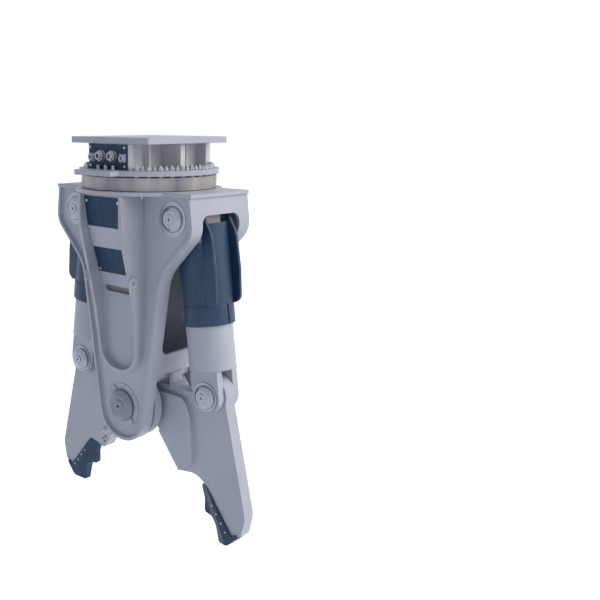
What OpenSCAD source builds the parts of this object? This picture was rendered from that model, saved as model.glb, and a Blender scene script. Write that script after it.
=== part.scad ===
// Demolition multiprocessor: a slewing bracket, a two-jaw crusher frame and two guarded cylinders.
// Millimetres, +Z up. The origin is the centre of the bracket plate's top face, and the tool hangs below it.
// Front is -Y, where the hydraulic ports and the service cover are.

/* [Bracket] */
// Width of the plate that bolts to the carrier, left to right
bracket_w = 620; // [560:10:700]
// Depth of the plate, front to back
bracket_d = 628; // [590:2:700]
// Thickness of the plate
bracket_t = 34; // [24:1:45]
// Corner radius of the plate
bracket_r = 8; // [4:1:20]
// Distance between the carrier bolts, both ways
carrier_pitch = 540; // [500:5:560]
// Radius of each carrier bolt hole
carrier_hole_r = 16.5; // [10:0.5:18]
// Height of the welded box between the plate and the slewing flange
box_h = 138; // [120:1:170]
// Half width of the front wall of the box
box_front_x = 157; // [150:1:170]
// Half width of the rear wall of the box
box_rear_x = 187; // [150:1:200]
// Thickness of the front, rear and cross walls
box_wall_t = 37; // [25:1:40]
// Distance from the slew axis to the outer face of the front and rear walls
box_y = 310; // [300:1:312]
// Half width of the cross wall in the middle
cross_x = 262; // [220:1:290]
// Thickness of the fore-and-aft webs and of the small gussets
web_t = 19; // [12:1:25]
// Distance from the slew axis to the outer face of each web
web_x = 120; // [110:1:125]
// Distance from the slew axis to the middle of each gusset
gusset_y = 148; // [120:1:170]

/* [Port panel] */
// Thickness of the port panel
panel_t = 6; // [4:1:10]
// Gap left round the panel on the front wall
panel_edge = 3; // [2:0.5:8]
// Half distance between the two main ports
port_x = 46; // [40:1:60]
// Depth of the main ports below the plate
port_drop = 66; // [50:1:80]
// Outer radius of a main port fitting
port_r = 27; // [22:1:32]
// Bore radius of a main port fitting
port_bore_r = 13; // [8:1:16]
// Length that a main port stands out of the panel
port_len = 34; // [24:1:50]
// Half distance between the two case drain ports
drain_x = 123; // [110:1:128]
// Bore radius of a case drain port
drain_bore_r = 7; // [4:0.5:9]
// Outer radius of a case drain port
drain_r = 19; // [14:1:22]
// Length that a drain port stands out of its block
drain_len = 9; // [6:1:20]
// Side of the square block behind each drain port
drain_block = 44; // [34:1:50]
// Thickness of that block
drain_block_t = 10; // [6:1:16]

/* [Slewing] */
// Radius of the slewing flange
flange_r = 398; // [392:1:410]
// Thickness of the slewing flange
flange_t = 28; // [20:1:40]
// Radius of the hole through the middle of the flange and the deck
swivel_hole_r = 100; // [90:1:110]
// Half width of the tab under the ports
tab_x = 145; // [120:1:180]
// Distance from the slew axis to the front edge of that tab
tab_y = 432; // [420:1:450]
// Number of bolts round the flange
ring_bolts = 36; // [24:2:40]
// Radius of the circle of those bolts
ring_bolt_circle_r = 358; // [352:1:364]
// Radius round a bolt head's corners
ring_bolt_head_r = 15; // [10:1:16]
// Height of a bolt head
ring_bolt_head_h = 18; // [8:1:22]
// Shank radius of those bolts
ring_bolt_r = 8; // [6:0.5:10]
// Outer radius of the slewing ring
ring_r = 385; // [380:1:392]
// Height of the slewing ring
ring_h = 81; // [70:1:95]
// Radius of the circle on which the balls run
race_r = 318; // [312:1:322]
// Radius of a ball
ball_r = 12; // [9:0.5:14]
// Number of balls
ball_count = 48; // [24:4:60]
// Teeth on the inside of the slewing ring
ring_teeth = 72; // [72:6:72]
// Teeth on the drive pinion
pinion_teeth = 12; // [12:6:12]
// Size of one gear tooth, its pitch circle divided by its count of teeth
gear_module = 7; // [6.5:0.1:7.2]
// Radius of the slew motor
motor_r = 58; // [45:1:58]

/* [Deck] */
// Width of the deck on top of the frame
deck_w = 1078; // [1060:2:1100]
// Depth of the deck
deck_d = 472; // [460:2:500]
// Thickness of the deck
deck_t = 21; // [16:1:30]
// Radius of the round part of the deck that carries the slewing ring
deck_r = 418; // [405:1:430]

/* [Frame] */
// Height from the underside of the deck down to the main pin
main_drop = 1248; // [1200:5:1300]
// Distance from the middle to the outer edge of the side walls
frame_y = 236; // [232:1:245]
// Thickness of the bent side walls and of the bands round the hub
wall_t = 18; // [12:1:25]
// Distance from the wall edge in to the face of the front and rear plates
plate_inset = 20; // [12:1:26]
// Thickness of the front and rear plates
plate_t = 24; // [18:1:30]
// Distance from the middle to the inner face of the hub pads
hub_in_y = 160; // [158:1:170]
// Half width of the windows in the side walls
window_y = 150; // [149:1:155]
// Distance from the deck down to the top of the windows
window_top = 94; // [80:2:110]
// Height of the lower end of the side walls above the main pin
wall_end_rise = 215; // [205:1:230]
// Radius of the window corners
window_r = 48; // [30:1:60]
// Height of the bridge that closes the side wall below the window
bridge_h = 125; // [90:5:150]

/* [Front channel] */
// Half width of the channel between the ribs
channel_x = 155; // [145:1:165]
// Thickness of the bent rib round the channel
rib_t = 22; // [14:1:28]
// Distance from the round edge of the deck in to the front of the rib
rib_in = 32; // [28:1:48]
// Distance from the deck down to the lowest point of the rib
channel_h = 1040; // [1000:5:1080]
// Thickness of the sloping cover seat
seat_t = 12; // [8:1:16]
// Thickness of the service cover
cover_t = 8; // [5:1:12]
// Gap left round the cover on its seat
cover_edge = 6; // [4:1:15]
// Thickness of the plain band across the cover
band_t = 4; // [3:0.5:6]

/* [Pins] */
// Distance from the end of the deck in to each upper pin
upper_in = 145; // [139:1:154]
// Distance from the deck down to the upper pins
upper_drop = 116; // [112:1:122]
// Radius of the upper pins
upper_pin_r = 42; // [36:1:44]
// Radius of the main pin
main_pin_r = 70; // [60:1:75]
// Radius of the lower pins
lower_pin_r = 40; // [34:1:44]
// Wall thickness of every bush
bush_t = 12; // [8:1:15]
// Radial running clearance between a pin and its bush
pin_clear = 0.08; // [0.05:0.01:0.1]

/* [Jaws] */
// Depth of the jaw tips below the main pin
jaw_h = 742; // [720:2:760]
// Farthest reach of an open jaw sideways
jaw_w = 795; // [780:1:810]
// Thickness of a jaw plate
jaw_t = 78; // [70:1:82]
// Radius of the lug round the lower pin
lug_r = 112; // [105:1:118]
// Radius of the round hub of the right jaw
hub_r = 150; // [140:1:155]
// Thickness of that hub
hub_t = 192; // [180:2:196]
// Radius of the two cheeks of the left jaw
cheek_r = 208; // [190:1:215]
// Thickness of each cheek
cheek_t = 52; // [40:1:56]
// Thickness of the stiffening plate on each side of a jaw
doubler_t = 26; // [16:1:28]
// Width of the shear blade bolted along the throat
blade_w = 28; // [20:1:32]
// Thickness of the shear blade
blade_t = 120; // [100:2:130]
// Bevel on the long edges of the shear blade
blade_bevel = 12; // [6:1:14]
// Thickness of the tooth holder at the tip
tooth_t = 100; // [90:2:110]
// Thickness of the tooth holder along its biting edge
tooth_edge_t = 34; // [20:2:50]
// Depth of the slope on each side of the biting edge
tooth_slope = 70; // [50:2:80]
// Radius of a tooth holder bolt head
tooth_bolt_r = 6.5; // [5:0.5:9]

/* [Cylinders] */
// Outer radius of the barrel
barrel_r = 132; // [125:1:134]
// Bore radius of the barrel
bore_r = 100; // [90:1:105]
// Distance from the lower pin to the bottom of the barrel
barrel_foot = 150; // [140:1:160]
// Thickness of the barrel's closed end
barrel_end_t = 36; // [25:1:45]
// Radius of the clevis ears
ear_r = 98; // [88:1:102]
// Thickness of a clevis ear
ear_t = 44; // [34:1:50]
// Clearance between a clevis ear and the jaw
ear_gap = 3; // [2:0.5:5]
// Radius of the piston rod
rod_r = 60; // [50:1:66]
// Length of the piston
piston_h = 70; // [50:2:90]
// Length of the gland at the mouth of the barrel
gland_h = 62; // [45:1:80]
// Radius of the rod eye
eye_r = 92; // [86:1:96]
// Bore radius of the rod eye, which stands clear of the upper pin
eye_bore_r = 64; // [64:0.5:66]
// Width of the rod eye
eye_w = 120; // [100:2:140]
// Distance from the upper pin down to the top of the round foot of the eye
eye_foot_top = 44; // [40:1:50]
// Thickness of the round foot of the eye
eye_foot_h = 50; // [40:1:54]
// Clearance between the barrel and the guard that slides over it
guard_clear = 2; // [1:0.5:3]
// Wall thickness of the guard
guard_t = 8; // [6:1:9]
// Extra thickness of the collar at the lower end of the guard
collar_t = 4; // [2:1:5]
// Height of the collar
collar_h = 108; // [80:2:130]
// Distance from the lower pin to the bottom of the collar
collar_foot = 404; // [390:2:430]
// Distance from the lower pin to the top of the closed part of the guard
guard_top = 850; // [800:5:880]
// Distance from the upper pin down to the top of the guard between its fins
guard_drop = 40; // [30:1:60]
// Half distance between the two side fins of the guard
fin_y = 100; // [92:1:104]
// Thickness of a side fin
fin_t = 16; // [10:1:20]
// Width of the slot in the collar
slot_w = 12; // [8:1:20]

/* [Hidden] */
$fn = 64;

// Overrun of every cut past the surface that it goes through
over = 1;
// Side clearance between parts that turn past each other inside the hub
side_gap = 4;

// Place of the lower pin from the main pin, as shares of the jaw width and height
lower_shares = [0.66667, 0.19811];
lower_x = jaw_w * lower_shares[0];
lower_rise = jaw_h * lower_shares[1];
upper_x = deck_w / 2 - upper_in;
rib_reach = deck_r - rib_in;
half_turn = 180;

// Heights, from the bracket plate down
box_top_z = -bracket_t;
flange_z = box_top_z - box_h;
ring_z = flange_z - flange_t;
deck_z = ring_z - ring_h;
under_z = deck_z - deck_t;
main_z = under_z - main_drop;
upper_z = under_z - upper_drop;
lower_z = main_z + lower_rise;

// Plate faces, measured from the middle plane
plate_y = frame_y - plate_inset;
plate_in_y = plate_y - plate_t;
panel_y = box_y + panel_t;

// The cylinder leans from the lower pin in to the upper pin
lean = atan((lower_x - upper_x) / (upper_z - lower_z));
pin_span = norm([lower_x - upper_x, upper_z - lower_z]);
eye_foot_z = pin_span - eye_foot_top - eye_foot_h;
// Gap between the retracted barrel and the foot of the eye
stop_gap = 6;
barrel_top = eye_foot_z - stop_gap;

// Outline of the frame: share of half the deck width, share of the drop to the main pin, corner radius
// as a share of half the deck width
frame_shares = [[0.983, 0, 0], [1.03, 0.155, 0.22], [0.607, 0.347, 0.43], [0.302, 1.171, 0.33]];
// Outline of the channel rib: share of its outer half width, share of its height, corner radius share
rib_shares = [[1, 0, 0], [1, 0.66, 1.2], [0.86, 1, 0.84]];
// Reach of the rib down its height: share of the height, share of the reach beyond the plate face
rib_reach_shares = [[0, 1], [0.17, 1], [0.3, 0.835], [0.483, 0.576], [0.67, 0.353], [0.835, 0.271], [1, 0.235]];
// Sloping face of the cover seat: share of the rib height, share of the rib reach beyond the plate face
seat_shares = [[0, 0.83], [0.17, 0.66], [0.515, 0.06]];

// Jaw outlines, measured from the main pin: shares of the jaw width and of the jaw height, corner
// radius as a share of the jaw width
jaw_top_shares = [[0, 0.1, 0], [0.14, 0.175, 0.04], [0.52, 0.175, 0.05], [0.57, 0.277, 0], [0.668, 0.3, 0],
    [0.772, 0.27, 0]];
jaw_tip_shares = [[1, -0.694, 0.2], [0.965, -0.86, 0.06], [0.938, -0.877, 0], [0.928, -0.855, 0],
    [0.889, -0.883, 0], [0.654, -0.569, 0], [0.636, -0.55, 0]];
right_throat_shares = [[0.537, -0.484, 0.2], [0.372, -0.513, 0.01],
    [0.162, -0.236, 0], [0.1, -0.148, 0]];
left_throat_shares = [[0.545, -0.566, 0.02], [0.476, -0.598, 0.04], [0.409, -0.488, 0.03],
    [0.19, -0.2143, 0], [0.14, -0.15, 0]];
// Ends of the shear blade along the throat
right_blade_shares = [[0.162, -0.236], [0.372, -0.513]];
left_blade_shares = [[0.19, -0.2143], [0.409, -0.488]];
// Outline of the stiffening plates on the right jaw
right_doubler_shares = [[0.11, 0.118, 0.05], [0.44, 0.118, 0.09], [0.506, -0.03, 0.3], [0.518, -0.39, 0.05],
    [0.46, -0.455, 0.01], [0.405, -0.492, 0], [0.195, -0.215, 0], [0.11, -0.1, 0]];
// Root block that carries the cheeks of the left jaw
root_shares = [[0.17, 0.15, 0.02], [0.36, 0.15, 0.05], [0.42, -0.1, 0.1], [0.372, -0.442, 0.03],
    [0.19, -0.2143, 0], [0.14, -0.15, 0]];
// Outline of the tooth holder with its two teeth
tooth_shares = [[0.636, -0.55, 0], [0.583, -0.561, 0.01], [0.575, -0.588, 0.01], [0.604, -0.682, 0.05],
    [0.6035, -0.77, 0.01], [0.613, -0.795, 0.005], [0.694, -0.812, 0.06], [0.729, -0.86, 0.04],
    [0.742, -0.992, 0.003], [0.756, -1, 0.006], [0.862, -0.968, 0.05], [0.938, -0.877, 0],
    [0.928, -0.855, 0], [0.889, -0.883, 0], [0.654, -0.569, 0]];
// Biting edge that the slopes follow
bite_shares = [[0.575, -0.588], [0.742, -0.992]];
// Places of the tooth holder bolts
tooth_bolt_shares = [[0.708, -0.687], [0.751, -0.744], [0.796, -0.805], [0.839, -0.863]];
// Outer edge of the guard fins: share of the barrel radius beyond the axis, share of the pin span
fin_shares = [[0.72, 0.99, 0], [0.92, 0.99, 0.1], [1.24, 0.9, 1.2], [1.29, 0.7, 1.5], [1.2, 0.528, 0.5],
    [0.84, 0.506, 0.1], [0.72, 0.53, 0]];

steel_paint = [0.66, 0.68, 0.74];
steel_dark = [0.56, 0.58, 0.64];
blue_paint = [0.17, 0.24, 0.33];
guard_paint = [0.21, 0.29, 0.38];
bare_steel = [0.62, 0.62, 0.63];
bright_steel = [0.78, 0.79, 0.8];
bronze = [0.68, 0.53, 0.3];

// Points of an arc that rounds corner b between a and c
function corner_arc(a, b, c, r, steps = 10) =
    let (
        u = (a - b) / norm(a - b),
        v = (c - b) / norm(c - b),
        half = acos(max(-1, min(1, u * v))) / 2,
        reach = min(r / tan(half), norm(a - b) / 2, norm(c - b) / 2),
        arc_r = reach * tan(half),
        mid = (u + v) / norm(u + v),
        centre = b + mid * arc_r / sin(half),
        from = b + u * reach - centre,
        to = b + v * reach - centre,
        start = atan2(from[1], from[0]),
        turn = (atan2(to[1], to[0]) - start + 3 * half_turn) % (2 * half_turn) - half_turn
    )
    [for (i = [0:steps]) centre + arc_r * [cos(start + turn * i / steps), sin(start + turn * i / steps)]];

// Closed outline through corners given as [x, y, radius]
function rounded(corners) =
    [for (i = [0:len(corners) - 1])
        let (
            n = len(corners),
            before = corners[(i + n - 1) % n],
            here = corners[i],
            after = corners[(i + 1) % n]
        )
        each here[2] > 0
            ? corner_arc([before[0], before[1]], [here[0], here[1]], [after[0], after[1]], here[2])
            : [[here[0], here[1]]]];

// Shares turned into real corners
function scaled(shares, w, h) = [for (s = shares) [s[0] * w, s[1] * h, (len(s) > 2 ? s[2] : 0) * w]];

// Half outline and its mirror image, joined into one closed outline
function both_sides(half) =
    concat(half, [for (i = [len(half) - 1:-1:0]) [-half[i][0], half[i][1], half[i][2]]]);

// The outline moved in by d, for points that run clockwise
function inset(points, d) =
    [for (i = [0:len(points) - 1])
        let (
            n = len(points),
            a = points[(i + n - 1) % n],
            b = points[i],
            c = points[(i + 1) % n],
            u = (b - a) / norm(b - a),
            v = (c - b) / norm(c - b),
            side = [u[1], -u[0]] + [v[1], -v[0]],
            stretch = 2 / (side * side)
        )
        b + side * stretch * d];

// The same, but open at the top: the top edge goes to the given height instead
function inset_open(points, d, top) = [for (p = inset(points, d)) [p[0], p[1] > -d - over ? top : p[1]]];

frame_points = rounded(both_sides(scaled(frame_shares, deck_w / 2, -main_drop)));
rib_w = channel_x + rib_t;
rib_points = rounded(both_sides(scaled(rib_shares, rib_w, -channel_h)));

// A flat shape drawn in x and z, made into a plate between two distances from the middle plane
module slab(y0, y1) {
    translate([0, y1, 0])
        rotate([90, 0, 0])
            linear_extrude(height = y1 - y0)
                children();
}

// The same plate on the front and, mirrored, on the rear
module front_and_rear() {
    children();
    mirror([0, 1, 0])
        children();
}

module left_and_right() {
    children();
    mirror([1, 0, 0])
        children();
}

// Round bar along y, centred on a pin
module bar(r, y0, y1) {
    translate([0, y1, 0])
        rotate([90, 0, 0])
            cylinder(h = y1 - y0, r = r);
}

module box(x0, x1, y0, y1, z0, z1) {
    translate([x0, y0, z0])
        cube([x1 - x0, y1 - y0, z1 - z0]);
}

module at_main() {
    translate([0, 0, main_z])
        children();
}

module at_upper() {
    translate([upper_x, 0, upper_z])
        children();
}

module at_lower() {
    translate([lower_x, 0, lower_z])
        children();
}

// Working frame of the right cylinder: the lower pin at the origin and the rod pointing up +Z
module along_cylinder() {
    at_lower()
        rotate([0, -lean, 0])
            children();
}

// Bracket

module bracket_plate() {
    color(steel_paint)
        difference() {
            translate([0, 0, -bracket_t])
                linear_extrude(height = bracket_t)
                    polygon(rounded([for (s = [[1, 1], [1, -1], [-1, -1], [-1, 1]])
                        [s[0] * bracket_w / 2, s[1] * bracket_d / 2, bracket_r]]));
            for (x = [-1, 1], y = [-1, 1])
                translate([x * carrier_pitch / 2, y * carrier_pitch / 2, -bracket_t - over])
                    cylinder(h = bracket_t + 2 * over, r = carrier_hole_r);
        }
}

module box_walls() {
    color(steel_paint) {
        box(-box_front_x, box_front_x, -box_y, -box_y + box_wall_t, flange_z, box_top_z);
        box(-box_rear_x, box_rear_x, box_y - box_wall_t, box_y, flange_z, box_top_z);
        box(-cross_x, cross_x, -box_wall_t / 2, box_wall_t / 2, flange_z, box_top_z);
    }
}

module box_webs() {
    color(steel_dark)
        front_and_rear()
            left_and_right() {
                box(web_x - web_t, web_x, box_wall_t / 2, box_y - box_wall_t, flange_z, box_top_z);
                box(web_x, box_front_x, gusset_y - web_t / 2, gusset_y + web_t / 2, flange_z, box_top_z);
            }
}

module port_panel() {
    color(blue_paint)
        box(-box_front_x + panel_edge, box_front_x - panel_edge, -panel_y, -box_y,
            flange_z + panel_edge, box_top_z - panel_edge);
}

// Corner bolts sit one head in from the edges of the panel
panel_bolt_in = 17;
panel_bolt_r = 8;
panel_bolt_h = 6;

module panel_bolts() {
    color(bright_steel)
        for (x = [-1, 1], z = [box_top_z - panel_edge - panel_bolt_in, flange_z + panel_edge + panel_bolt_in])
            translate([x * (box_front_x - panel_edge - panel_bolt_in), 0, z])
                bar(panel_bolt_r, -panel_y - panel_bolt_h, -panel_y, $fn = 6);
}

port_z = box_top_z - port_drop;
drain_z = port_z - panel_bolt_r;
// A port's collar takes this share of its length
collar_share = 0.45;
// A port's neck is this share of its collar's radius
neck_share = 0.8;

// Fitting with a wide collar, a neck and a blind bore, its back on the panel
module fitting(r, bore, back_y, out) {
    difference() {
        union() {
            bar(r, back_y - out * collar_share, back_y);
            bar(r * neck_share, back_y - out, back_y);
        }
        bar(bore, back_y - out - over, back_y - panel_t);
    }
}

module main_ports() {
    color(bare_steel)
        for (x = [-port_x, port_x])
            translate([x, 0, port_z])
                fitting(port_r, port_bore_r, -panel_y, port_len);
}

module drain_ports() {
    color(steel_paint)
        for (x = [-drain_x, drain_x])
            translate([x, 0, drain_z])
                difference() {
                    union() {
                        box(-drain_block / 2, drain_block / 2, -panel_y - drain_block_t, -panel_y,
                            -drain_block / 2, drain_block / 2);
                        bar(drain_r, -panel_y - drain_block_t - drain_len, -panel_y - drain_block_t);
                    }
                    bar(drain_bore_r, -panel_y - drain_block_t - drain_len - over, -panel_y - panel_t);
                }
}

tab_fitting_r = 11;
tab_fitting_h = 16;
tab_fitting_x = 60;
tab_fitting_y = 14;

module tab_fittings() {
    color(bare_steel)
        for (i = [-1:1])
            translate([i * tab_fitting_x, -panel_y - tab_fitting_y, flange_z])
                cylinder(h = tab_fitting_h, r = tab_fitting_r, $fn = 6);
}

pitch_ring_r = gear_module * ring_teeth / 2;
pitch_pinion_r = gear_module * pinion_teeth / 2;
pinion_y = pitch_ring_r - pitch_pinion_r;
// The drive shaft is this share of the pinion's pitch radius
shaft_share = 0.55;
shaft_r = pitch_pinion_r * shaft_share;
shaft_clear = 4;

module slew_flange() {
    color(steel_paint)
        difference() {
            union() {
                translate([0, 0, ring_z])
                    cylinder(h = flange_t, r = flange_r, $fn = 120);
                box(-tab_x, tab_x, -tab_y, 0, ring_z, flange_z);
            }
            translate([0, 0, ring_z - over])
                cylinder(h = flange_t + 2 * over, r = swivel_hole_r);
            translate([0, pinion_y, ring_z - over])
                cylinder(h = flange_t + 2 * over, r = shaft_r + shaft_clear);
            ring_bolt_places()
                translate([0, 0, ring_z - over])
                    cylinder(h = flange_t + 2 * over, r = ring_bolt_r, $fn = 24);
        }
}

module ring_bolt_places() {
    for (i = [0:ring_bolts - 1]) {
        angle = (i + 0.5) * 360 / ring_bolts;
        at_tab = sin(angle) < 0 && abs(ring_bolt_circle_r * cos(angle)) < tab_x + ring_bolt_head_r;
        if (!at_tab)
            rotate([0, 0, angle])
                translate([ring_bolt_circle_r, 0, 0])
                    children();
    }
}

module flange_bolts() {
    color(bare_steel)
        ring_bolt_places() {
            translate([0, 0, flange_z])
                cylinder(h = ring_bolt_head_h, r = ring_bolt_head_r, $fn = 6);
            translate([0, 0, ring_z - ring_lip_h - flange_t])
                cylinder(h = 2 * flange_t + ring_lip_h + ring_bolt_head_h + stud_out, r = ring_bolt_r, $fn = 24);
            translate([0, 0, ring_z - ring_lip_h])
                cylinder(h = ring_lip_h, r = spacer_r);
        }
}

// Slewing ring: the outer race hangs from the flange, the toothed inner race stands on the deck
ring_lip_h = 8;
// Radius of the spacer round each bolt, and its gap to the lip of the ring
spacer_r = 17;
spacer_gap = 4;
lip_r = ring_bolt_circle_r - spacer_r - spacer_gap;
// How far a stud stands out of its nut
stud_out = 9;
race_gap = 2;
deck_gap = 3;
ring_mid_z = ring_z - ring_h / 2;
// Clearance between a ball and its groove
ball_clear = 0.8;

module ball_groove() {
    translate([0, 0, ring_mid_z])
        rotate_extrude($fn = 120)
            translate([race_r, 0])
                circle(r = ball_r + ball_clear, $fn = 32);
}

module ring_outer() {
    color(bare_steel)
        difference() {
            union() {
                translate([0, 0, deck_z + deck_gap])
                    cylinder(h = ring_h - ring_lip_h - deck_gap, r = ring_r, $fn = 120);
                translate([0, 0, deck_z + deck_gap])
                    cylinder(h = ring_h - deck_gap, r = lip_r, $fn = 120);
            }
            translate([0, 0, deck_z])
                cylinder(h = ring_h + over, r = race_r + race_gap, $fn = 120);
            ball_groove();
            ring_bolt_places()
                translate([0, 0, ring_z - ring_lip_h - flange_t])
                    cylinder(h = flange_t + ring_lip_h + over, r = ring_bolt_r, $fn = 24);
        }
}

// Half angle of a tooth at the pitch circle, as a share of its pitch, leaves backlash
tooth_width_share = 0.22;
// Width of a tooth at its tip and root, as shares of its width at the pitch circle
tip_width_share = 0.55;
root_width_share = 1.5;
// Height above and depth below the pitch circle, in modules
addendum_share = 0.9;
dedendum_share = 1.2;

// Gear outline: outward is 1 for a pinion and -1 for teeth that point in
function gear_points(teeth, outward) =
    [for (i = [0:teeth - 1], k = [[-1, -1], [-1, 1], [1, 1], [1, -1]])
        let (
            pitch_r = gear_module * teeth / 2,
            out = k[1] * outward,
            r = pitch_r + gear_module * (k[1] > 0 ? addendum_share : -dedendum_share) * outward,
            width = k[1] > 0 ? tip_width_share : root_width_share,
            angle = (i + k[0] * tooth_width_share * width) * 360 / teeth
        )
        r * [cos(angle), sin(angle)]];

module ring_inner() {
    color(bare_steel)
        difference() {
            translate([0, 0, deck_z])
                cylinder(h = ring_h - ring_lip_h, r = race_r - race_gap, $fn = 120);
            ball_groove();
            translate([0, 0, deck_z - over])
                linear_extrude(height = ring_h + 2 * over)
                    polygon(gear_points(ring_teeth, -1));
        }
}

module bearing_balls() {
    color(bright_steel)
        for (i = [0:ball_count - 1])
            rotate([0, 0, i * 360 / ball_count])
                translate([race_r, 0, ring_mid_z])
                    sphere(r = ball_r, $fn = 24);
}

// The pinion is narrower than the ring by this much at the top and at the bottom
pinion_edge = 10;

module drive_pinion() {
    color(bare_steel)
        translate([0, pinion_y, 0]) {
            translate([0, 0, deck_z + pinion_edge])
                rotate([0, 0, half_turn / 2 + half_turn / pinion_teeth])
                    linear_extrude(height = ring_h - 2 * pinion_edge)
                        polygon(gear_points(pinion_teeth, 1));
            translate([0, 0, ring_z - pinion_edge])
                cylinder(h = flange_t + 2 * pinion_edge, r = shaft_r);
        }
}

motor_foot_h = 16;
motor_rim = 4;
motor_foot_r = motor_r + motor_rim;

module slew_motor() {
    color(steel_dark)
        translate([0, pinion_y, 0])
            difference() {
                union() {
                    translate([0, 0, flange_z])
                        cylinder(h = motor_foot_h, r = motor_foot_r);
                    translate([0, 0, flange_z])
                        cylinder(h = box_h - motor_foot_h, r = motor_r);
                }
                translate([0, 0, flange_z - over])
                    cylinder(h = motor_foot_h + over, r = shaft_r + pin_clear);
            }
}

// Hydraulic swivel: the core hangs in the flange, the housing is bolted under the deck
swivel_core_r = 60;
swivel_foot_h = 18;
swivel_clear = 0.1;
swivel_drop = 58;
swivel_wall = 26;
swivel_housing_r = swivel_core_r + swivel_wall;
swivel_lap = 24;
swivel_flange_r = swivel_hole_r + swivel_lap;

module swivel_core() {
    color(bare_steel) {
        translate([0, 0, ring_z])
            cylinder(h = flange_t, r = swivel_hole_r);
        translate([0, 0, under_z - swivel_drop])
            cylinder(h = ring_z - under_z + swivel_drop, r = swivel_core_r);
    }
}

module swivel_housing() {
    color(steel_dark)
        difference() {
            union() {
                translate([0, 0, under_z - swivel_drop])
                    cylinder(h = swivel_drop + deck_t + ring_h / 2, r = swivel_housing_r);
                translate([0, 0, under_z - swivel_foot_h])
                    cylinder(h = swivel_foot_h, r = swivel_flange_r);
            }
            translate([0, 0, under_z - swivel_drop - over])
                cylinder(h = swivel_drop + deck_t + ring_h, r = swivel_core_r + swivel_clear);
        }
}

// Frame

module deck() {
    color(steel_paint)
        difference() {
            union() {
                box(-deck_w / 2, deck_w / 2, -deck_d / 2, deck_d / 2, under_z, deck_z);
                translate([0, 0, under_z])
                    cylinder(h = deck_t, r = deck_r, $fn = 120);
            }
            translate([0, 0, under_z - over])
                cylinder(h = deck_t + 2 * over, r = swivel_hole_r);
        }
}

module frame_shape() {
    translate([0, under_z])
        polygon(frame_points);
}

module frame_inner_shape() {
    translate([0, under_z])
        polygon(inset_open(frame_points, wall_t, 0));
}

wall_end_z = main_z + wall_end_rise;
window_h = main_drop - window_top - bridge_h - wall_end_rise;
window_top_z = under_z - window_top;

// The closed part of the outline between two heights
module frame_zone(z0, z1) {
    intersection() {
        children();
        translate([-deck_w, z0])
            square([2 * deck_w, z1 - z0]);
    }
}

module wall_shape() {
    difference() {
        frame_shape();
        translate([0, under_z])
            polygon(inset_open(frame_points, wall_t, over));
    }
}

// Rounded opening seen from the side, y across and z up
module side_opening(half_w, top_z, height, r) {
    rotate([90, 0, 90])
        linear_extrude(height = deck_w)
            polygon(rounded([for (s = [[1, 0], [1, -1], [-1, -1], [-1, 0]])
                [s[0] * half_w, top_z + s[1] * height, r]]));
}

module side_wall() {
    color(steel_paint)
        difference() {
            slab(-frame_y, frame_y)
                intersection() {
                    frame_zone(wall_end_z, under_z)
                        wall_shape();
                    translate([0, main_z - deck_w])
                        square([deck_w, main_drop + deck_w]);
                }
            side_opening(window_y, window_top_z, window_h, window_r);
        }
}

module side_wall_right() {
    side_wall();
}

module side_wall_left() {
    mirror([1, 0, 0])
        side_wall();
}

// Height of the service opening behind the cover and of its lower edge below the deck
service_top = 90;
service_h = 484;
service_in = 10;
service_x = channel_x - service_in;
service_r = 30;

module pin_holes() {
    left_and_right()
        at_upper()
            bar(upper_pin_r, -frame_y, frame_y);
    at_main()
        bar(main_pin_r, -frame_y, frame_y);
}

module front_plate() {
    color(steel_paint)
        difference() {
            slab(-plate_y, -plate_in_y)
                difference() {
                    frame_zone(main_z - main_drop, under_z)
                        frame_inner_shape();
                    translate([0, under_z])
                        polygon(rounded([for (s = [[1, 0], [1, -1], [-1, -1], [-1, 0]])
                            [s[0] * service_x, -service_top + s[1] * service_h, service_r]]));
                }
            pin_holes();
        }
}

module rear_plate() {
    color(steel_paint)
        difference() {
            slab(plate_in_y, plate_y)
                frame_zone(main_z - main_drop, under_z)
                    frame_inner_shape();
            pin_holes();
        }
}

// The wall's front strip runs on round the hub, and a pad thickens the plate behind it
module hub_band() {
    color(steel_paint)
        difference() {
            slab(-frame_y, -hub_in_y)
                frame_zone(main_z - main_drop, wall_end_z)
                    frame_shape();
            slab(-frame_y - over, -plate_in_y)
                frame_zone(main_z - main_drop, wall_end_z + over)
                    frame_inner_shape();
            pin_holes();
        }
}

module hub_bands() {
    front_and_rear()
        hub_band();
}

// Bar welded between the hub pads on each side, just below the side walls
stop_bar_x = 177;
stop_bar_w = 40;
stop_bar_h = 43;
stop_bar_drop = 10;

module stop_bar() {
    color(steel_dark)
        left_and_right()
            box(stop_bar_x - stop_bar_w, stop_bar_x, -hub_in_y, hub_in_y,
                wall_end_z - stop_bar_drop - stop_bar_h, wall_end_z - stop_bar_drop);
}

// Forward edge of the rib and of the seat, as points in y and z
function reach_points(shares) = [for (s = shares) [-plate_y - s[1] * (rib_reach - plate_y), -s[0] * channel_h]];

// A side profile drawn in y and z, made into a bar between two values of x
module side_profile(x0, x1) {
    translate([x0, 0, 0])
        rotate([90, 0, 90])
            linear_extrude(height = x1 - x0)
                children();
}

module rib() {
    color(steel_paint)
        intersection() {
            slab(-rib_reach, -plate_y)
                translate([0, under_z])
                    difference() {
                        polygon(rib_points);
                        polygon(inset_open(rib_points, rib_t, over));
                    }
            side_profile(-rib_w, rib_w)
                translate([0, under_z])
                    polygon(concat([[-plate_y, 0]], reach_points(rib_reach_shares), [[-plate_y, -channel_h]]));
        }
}

// Lifting ear on each outer side of the front rib, with a hole along x
rib_ear_drop = 477;
rib_ear_reach = 308;
rib_ear_r = 34;
rib_ear_hole_r = 12;
rib_ear_t = 12;
rib_ear_hole_depth = 4;

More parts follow.
